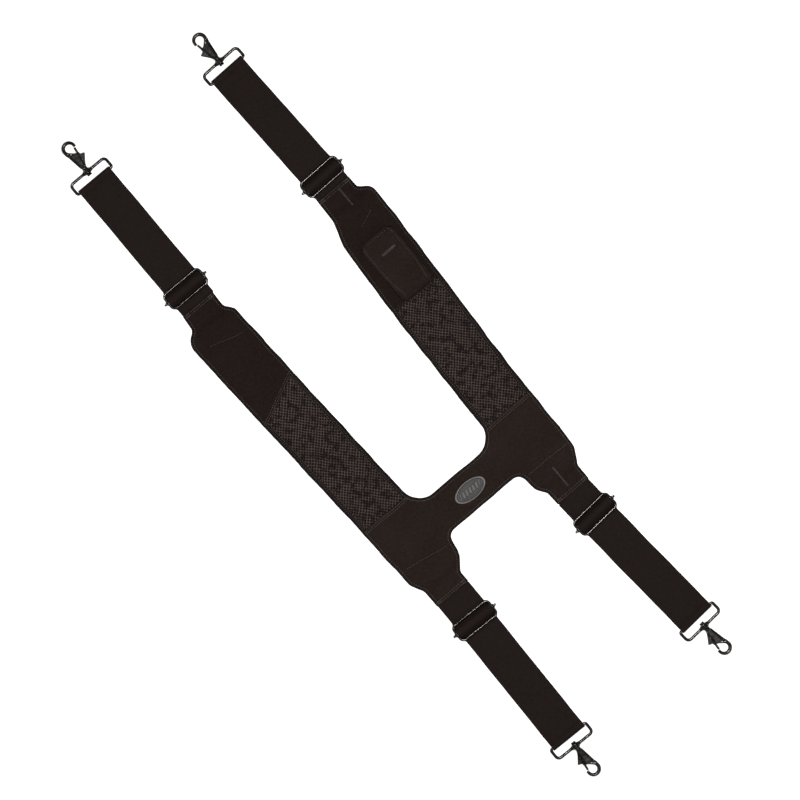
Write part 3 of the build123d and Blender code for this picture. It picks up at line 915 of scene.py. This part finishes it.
def makeBadge():
    # oval on polar rings: raised round rim, level field, and a row of slanted bars in place of lettering
    low, high = (np.array(corner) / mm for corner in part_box("badge"))
    centre = ((low + high) / 2)[:2]
    share = np.concatenate([[0.001], np.linspace(0.02, 0.9, 60), np.linspace(0.905, 1, 16)])
    angle = np.linspace(0, 2 * math.pi, 180, endpoint=False)
    r, a = np.meshgrid(share, angle, indexing="ij")
    dx, dy = badgeShape["halfWide"] * r * np.cos(a), badgeShape["halfHigh"] * r * np.sin(a)
    inset = badgeShape["halfHigh"] * (1 - r)
    rim = np.exp(-(((inset - 1.0) / 0.62) ** 2) ** 1.6)
    lean = dx - 0.35 * dy
    bars = ease(np.abs(((lean / 5.2) % 1) - 0.5), 0.2, 0.27)
    bars *= ease(3.9 - np.abs(dy), 0, 0.5) * ease(16.0 - np.abs(lean), 0, 0.6)
    under = ease(0.5 - np.abs(dy + 6.6), 0, 0.3) * ease(9 - np.abs(dx), 0, 0.6)
    inner = np.exp(-((inset - 2.9) / 0.28) ** 2)
    raised = np.maximum(rim, 0.55 * np.maximum(np.maximum(bars, under), inner))
    x, y = centre[0] + dx, centre[1] + dy
    ground = paddedHeight(x, y, edgeDistance(x, y))
    z = ground.mean() + badgeShape["base"] * ease(inset, 0.0, 0.45) + badgeShape["rise"] * raised - 0.6
    points = np.stack([x, y, z], -1)
    skirt = points[-1:].copy()
    skirt[..., 2] -= 1.6
    points = np.vstack([points, skirt])
    faces = gridFaces(len(share) + 1, len(angle), loopCols=True, flip=True)
    piece = addMesh("badge", points.reshape(-1, 3), faces, rubber)
    paint(piece, "raised", np.vstack([raised, np.zeros(len(angle))]))
    weld(piece, 4e-5)
    return piece


badge = makeBadge()


pocket = {"centre": 112.6, "half": 24.2, "mouth": 97.0, "base": 179.0, "roll": 7.0, "top": 15.4, "foot": 8.4,
          "flapEnd": 182.0, "rootHalf": 20.6, "endHalf": 24.8, "corner": 11.0, "seam": 3.4}


def makePouch():
    # pouch shell: a bellows side profile carried from the mouth to the base, where it rolls down to the pad
    t = np.linspace(0, 1, 15)
    sideX = pocket["half"] + 0.8 * np.sin(t * math.pi * 2) + 0.3
    topX = np.linspace(pocket["half"] - 1.2, -pocket["half"] + 1.2, 40)
    across = np.concatenate([sideX, topX, -sideX[::-1]])
    level = np.concatenate([t, np.ones_like(topX), t[::-1]])
    rollStart = pocket["base"] - pocket["roll"]
    turn = np.linspace(0.1, math.pi / 2, 12)
    y = np.append(rowsBetween(pocket["mouth"], rollStart, 1.5), rollStart + pocket["roll"] * np.sin(turn))
    roll = np.clip((y - rollStart) / pocket["roll"], 0, 1)
    height = np.sqrt(np.clip(1 - roll ** 2, 0.0, 1))
    narrow = 1 - 0.05 * roll ** 2
    gx, gy = across[None] * narrow[:, None], np.repeat(y[:, None], len(across), 1)
    bulge = 0.7 * ripple(gx, gy, 31, 38) * ease(level[None], 0.6, 1)
    gz = pocket["foot"] + ((pocket["top"] - pocket["foot"]) * level[None] + bulge) * height[:, None]
    points = np.stack([pocket["centre"] + gx, gy, gz], -1)
    piece = addMesh("phonePouch", points.reshape(-1, 3), gridFaces(*gx.shape, flip=True), pouchCloth)
    # only the gussets get painted shade: their inset is none, and the face's is well past the hem
    paint(piece, "inset", 6 * np.repeat((level == 1)[None], len(y), 0))
    return thicken(piece, 1.0 * mm)


def flapLine(s):
    # side view of the flap from its sewn root: up over the mouth, level along the pouch, dropping at the end
    path = smoothPath([(89.5, 9.3), (91.0, 9.9), (92.0, 12.2), (93.0, 15.2), (95.4, 17.5), (100, 18.1),
                       (130, 18.2), (160, 18.1), (174, 17.4), (182, 15.6)], 200)
    share = along(path) / along(path)[-1]
    return np.interp(s, share, path[:, 0]), np.interp(s, share, path[:, 1])


def flapHalf(y):
    # half width: widening evenly from the root, rounded at the free corners
    wide = pocket["rootHalf"] + (pocket["endHalf"] - pocket["rootHalf"]) * ease(y, 92, 130)
    near = np.clip((y - (pocket["flapEnd"] - pocket["corner"])) / pocket["corner"], 0, 1)
    return wide - pocket["corner"] * (1 - np.sqrt(np.clip(1 - near ** 2, 0, 1)))


def flapSurface(share, across):
    # the side view carried across the flap's width, puffed in the middle, pressed in as a bell curve along
    # its seams and drooping by a high power towards its sides
    y, z = flapLine(share)
    half = flapHalf(y)
    x = across * half
    puff = 0.5 * ease(half - np.abs(x), 0.5, 9) * ease(y, 95, 106) * ease(pocket["flapEnd"] - y, 1, 10)
    seam = 0.55 * np.exp(-((half - np.abs(x) - pocket["seam"]) / 0.9) ** 2) * ease(y, 95, 100)
    endSeam = 0.55 * np.exp(-((pocket["flapEnd"] - y - 3.6) / 0.9) ** 2)
    droop = 0.9 * np.abs(across) ** 6 * ease(y, 96, 110)
    soft = 0.4 * ripple(x, y, 41, 30) * ease(y, 95, 105)
    return pocket["centre"] + x, y, z + puff - np.maximum(seam, endSeam) - droop + soft


def makeFlap():
    share = np.concatenate([np.linspace(0, 0.9, 90), np.linspace(0.9, 1, 40)[1:]])
    edge = np.sin(np.linspace(-math.pi / 2, math.pi / 2, 61))
    s, w = np.meshgrid(share, edge, indexing="ij")
    x, y, z = flapSurface(s, w)
    piece = addMesh("phoneFlap", np.stack([x, y, z], -1).reshape(-1, 3), gridFaces(*s.shape), pocketCloth)
    return thicken(piece, 1.5 * mm)


def flapPath(points):
    # a path on the flap, its stitches sunk in the seam
    share, across = np.array(points).T
    x, y, z = flapSurface(share, across)
    return np.stack([x, y, z - 0.08], -1)


pouch = makePouch()
flap = makeFlap()
flapEdge = []
for side in (-1, 1):
    s = np.linspace(0.14, 0.955, 80)
    y, _ = flapLine(s)
    flapEdge.append(flapPath(np.stack([s, side * (1 - pocket["seam"] / flapHalf(y))], -1)))
flapEdge.append(flapPath([(0.957, w) for w in np.linspace(-0.72, 0.72, 30)]))
flapStitches = stitchesAlong("flapStitches", flapEdge, thread)
rootEdge = flapPath([(0.012, w) for w in np.linspace(-0.9, 0.9, 30)])
rootStitches = stitchesAlong("flapRootStitches", [rootEdge], thread)


def plaque(name, centre, wide, high, ground, material, thick):
    # small sewn rectangle with soft corners: superellipse in plan, set on the ground height
    share = np.concatenate([[0.001], np.linspace(0.1, 1, 12)])
    angle = np.linspace(0, 2 * math.pi, 72, endpoint=False)
    r, a = np.meshgrid(share, angle, indexing="ij")
    shape = (np.abs(np.cos(a)) ** 10 + np.abs(np.sin(a)) ** 10) ** -0.1
    x = centre[0] + wide / 2 * r * shape * np.cos(a)
    y = centre[1] + high / 2 * r * shape * np.sin(a)
    z = ground(x, y) + thick * ease(1 - r, 0, 0.08)
    faces = gridFaces(*r.shape, loopCols=True, flip=True)
    piece = addMesh(name, np.stack([x, y, z], -1).reshape(-1, 3), faces, material)
    weld(piece, 4e-5)
    return piece


def flapGround(x, y):
    # height just above the flap's middle
    path = np.array(flapLine(np.linspace(0, 1, 200))).T
    return np.interp(y, path[:, 0], path[:, 1]) + 0.55


flapLabel = plaque("flapLabel", (114.9, 155.7), 22.5, 3.4, flapGround, labelCloth, 0.3)
patch = {"centre": (112.6, 156.0), "wide": 26, "high": 22, "pouchLevel": 15.7, "flapLevel": 16.3}
marks = []
for name, x, low, high in (("markFront", 118.2, 229, 256), ("markBack", 95.6, -216, -185)):
    line = onCover(np.stack([np.full(30, x), np.linspace(low, high, 30)], -1), 0.3)
    marks.append(stitchesAlong(name, [line], paleThread, pitch=0.95, length=3.0, radius=0.24, turn=1.35))
pouchPatch = plaque("pouchPatch", patch["centre"], patch["wide"], patch["high"],
                    lambda x, y: np.full_like(x, patch["pouchLevel"]), hookTape, 0.5)
flapPatch = plaque("flapPatch", patch["centre"], patch["wide"], patch["high"],
                   lambda x, y: np.full_like(x, patch["flapLevel"]), hookTape, 0.4)
print("pocket made")


for piece, nodes, slotName in (
        (coverYoke, ("yoke_panel", "foam_core", "strap_tails"), "shell_fabric"),
        (coverChestLeft, ("chest_panel_left",), "shell_fabric"),
        (coverChestRight, ("chest_panel_right",), "shell_fabric"),
        (airLeft, ("mesh_panel_left",), "air_mesh"), (airRight, ("mesh_panel_right",), "air_mesh"),
        (lining, ("lining_left", "lining_right", "lining_bridge"), "lining"),
        (bands[0], ("edge_binding",), "edge_tape"), (badge, ("badge",), "badge_rubber"),
        (pouch, ("phone_pouch",), "pocket_fabric"), (pouchPatch, ("pouch_patch",), "hook_and_loop")):
    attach(piece, "yoke")
    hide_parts(*nodes)
for piece in (*bands[1:], hemStitches, bandStitches, seamStitches, tongueStitches, barTacks, *marks,
              rootStitches):
    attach(piece, "yoke")
cut = np.vstack([cornerArc(i) for i in range(len(yokeCorners))]) * mm
cutArea = abs(float((cut[:, 0] * np.roll(cut[:, 1], -1) - cut[:, 1] * np.roll(cut[:, 0], -1)).sum())) / 2

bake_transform(flap)
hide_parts("phone_flap")
for piece in (flapStitches, flapLabel, flapPatch):
    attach(piece, "pocket_flap")
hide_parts("flap_patch")

hook = {"eye": (0.6, 36.6), "wireMiddle": 7.55, "wireHalf": 1.95, "stout": 1.28, "springFoot": (-2.05, 21.5),
        "gate": {"front_left": 1, "front_right": -1, "back_left": 1, "back_right": 1}}


def castCopy(nodeName, bodyName, voxel, passes, grow=0.0, shape=None):
    # die-cast look: the part's mesh filled with an even fine grid, its edges eased and its skin moved out by
    # the thickness of the plating, then shaped by a formula
    mesh = nodeObjects[nodeName].data.copy()
    rough = bpy.data.objects.new(nodeName + "_rough", mesh)
    bpy.context.collection.objects.link(rough)
    weld(rough, 2e-6)
    remesh = rough.modifiers.new("grid", "REMESH")
    remesh.mode, remesh.voxel_size, remesh.use_smooth_shade = "VOXEL", voxel * mm, True
    eased = rough.modifiers.new("eased", "SMOOTH")
    eased.factor, eased.iterations = 0.5, passes
    plating = rough.modifiers.new("plating", "DISPLACE")
    plating.strength, plating.mid_level = grow * mm, 0.0
    cast = bpy.data.meshes.new_from_object(rough.evaluated_get(bpy.context.evaluated_depsgraph_get()))
    bpy.data.objects.remove(rough)
    if shape:
        co = np.empty(len(cast.vertices) * 3)
        cast.vertices.foreach_get("co", co)
        cast.vertices.foreach_set("co", (shape(co.reshape(-1, 3) / mm) * mm).ravel())
        cast.update()
    piece = bpy.data.objects.new(nodeName + "_cast", cast)
    bpy.context.collection.objects.link(piece)
    cast.materials.clear()
    cast.materials.append(blackNickel)
    cast.polygons.foreach_set("use_smooth", [True] * len(cast.polygons))
    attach(piece, bodyName)
    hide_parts(nodeName)


def roundEye(f, side):
    # the eye's flat section becomes a stout round wire: half height follows a circle over the distance from
    # mid-wire, and the wire's sides move away from that middle line
    def shape(points):
        rel = points[:, :2] - f["origin"]
        x, y = side * (rel @ f["across"]), rel @ f["axis"] - f["outerBar"]
        z = points[:, 2] - strap["ringHeight"]
        out = np.hypot(x - hook["eye"][0], y - hook["eye"][1])
        t = np.clip(np.abs(out - hook["wireMiddle"]) / hook["wireHalf"], 0, 1)
        rounding = hook["stout"] * np.sqrt(1 - 0.9 * t ** 2)
        share = ease(y, 28, 33)
        half = np.clip(4.3 + (y - 7.2) * 0.17, 3.9, 8)
        crown = 1 - 0.28 * ease(np.abs(x) / half, 0.35, 1.1) * ease(y, 7.0, 9.5)
        points[:, 2] = strap["ringHeight"] + z * (rounding * share + crown * (1 - share))
        swell = (hook["stout"] - 1) * (out - hook["wireMiddle"]) * share / out
        points[:, :2] += np.outer(swell * (x - hook["eye"][0]) * side, f["across"])
        points[:, :2] += np.outer(swell * (y - hook["eye"][1]), f["axis"])
        return points
    return shape


for name in cornerNames:
    castCopy(name + "_hook_body", name + "_hook", 0.24, 16, shape=roundEye(frames[name], hook["gate"][name]))
    castCopy(name + "_ring", name + "_ring", 0.34, 4, grow=0.24)
print("hooks and rings made")


def makeSpring(name):
    # the gate's coil, in spring steel and carried by the hook; the real coil shortens towards the hook's
    # spine as the gate is pressed in
    f, side = frames[name], hook["gate"][name]
    mesh = nodeObjects[name + "_gate_spring"].data.copy()
    spring = bpy.data.objects.new(name + "_gate_coil", mesh)
    bpy.context.collection.objects.link(spring)
    weld(spring, 2e-6)
    mesh.materials.clear()
    mesh.materials.append(springSteel)
    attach(spring, name + "_hook")
    direction = side * f["across"]
    across, height = hook["springFoot"]
    anchor = fromStrap(f, side * across, f["outerBar"] + height, strap["ringHeight"]) * mm
    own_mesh(spring)
    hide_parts(name + "_gate_spring")


for name in cornerNames:
    makeSpring(name)

for name in cornerNames:
    for ending in ("slider_frame", "slider_bar", "gate", "gate_pin"):
        for slotItem in nodeObjects[f"{name}_{ending}"].material_slots:
            slotItem.material = blackNickel
print("finishes set")


stageLook = {"floor": 0.8, "reach": 9000, "world": 0.18, "glow": 0.72}
# place, size and power of each lamp
lamps = {"key": ((-1.5, 1.0, 1.0), 0.35, 6.0), "fill": ((0.1, -0.1, 2.1), 1.25, 2.0),
         "spark": ((0.05, 0.0, 2.0), 0.28, 24.0), "rim": ((1.0, -1.4, 0.9), 0.35, 4.0)}


def makeFloor():
    floorFinish = Finish("pale floor", Roughness=0.9, Specular_IOR_Level=0.0, Emission_Color=(1, 1, 1, 1),
                         Emission_Strength=stageLook["glow"], Base_Color=(*[stageLook["floor"]] * 3, 1))
    far, level = stageLook["reach"], -0.3
    corners = [(-far, -far, level), (far, -far, level), (far, far, level), (-far, far, level)]
    floor = addMesh("floor", corners, [(0, 1, 2, 3)], floorFinish.material)


def addLamp(name, place, size, power):
    lamp = bpy.data.lights.new(name, "AREA")
    lamp.shape, lamp.size, lamp.energy = "SQUARE", size, power
    made = bpy.data.objects.new(name, lamp)
    made.location = place
    bpy.context.collection.objects.link(made)
    direction = -np.array(place)
    made.rotation_mode = "QUATERNION"
    made.rotation_quaternion = Vector(direction).to_track_quat("-Z", "Y")


def makeLight():
    world = bpy.data.worlds.new("studio")
    world.use_nodes = True
    world.node_tree.nodes["Background"].inputs[0].default_value = (1, 1, 1, 1)
    world.node_tree.nodes["Background"].inputs[1].default_value = stageLook["world"]
    bpy.context.scene.world = world
    for name, (place, size, power) in lamps.items():
        addLamp(name, place, size, power)


cameraView = {"width": 1.008, "height": 5.0, "aimX": 0.0042, "aimY": 0.0035, "roll": 40.4}


def makeCamera():
    data = bpy.data.cameras.new("camera")
    data.sensor_width = 36
    data.lens = 36 * cameraView["height"] / cameraView["width"]
    data.clip_end = 100
    made = bpy.data.objects.new("camera", data)
    made.location = (cameraView["aimX"], cameraView["aimY"], cameraView["height"])
    made.rotation_euler = (0, 0, math.radians(-cameraView["roll"]))
    bpy.context.collection.objects.link(made)
    bpy.context.scene.camera = made


makeFloor()
makeLight()
makeCamera()
bpy.context.scene.view_settings.view_transform = "Standard"
print("stage made")
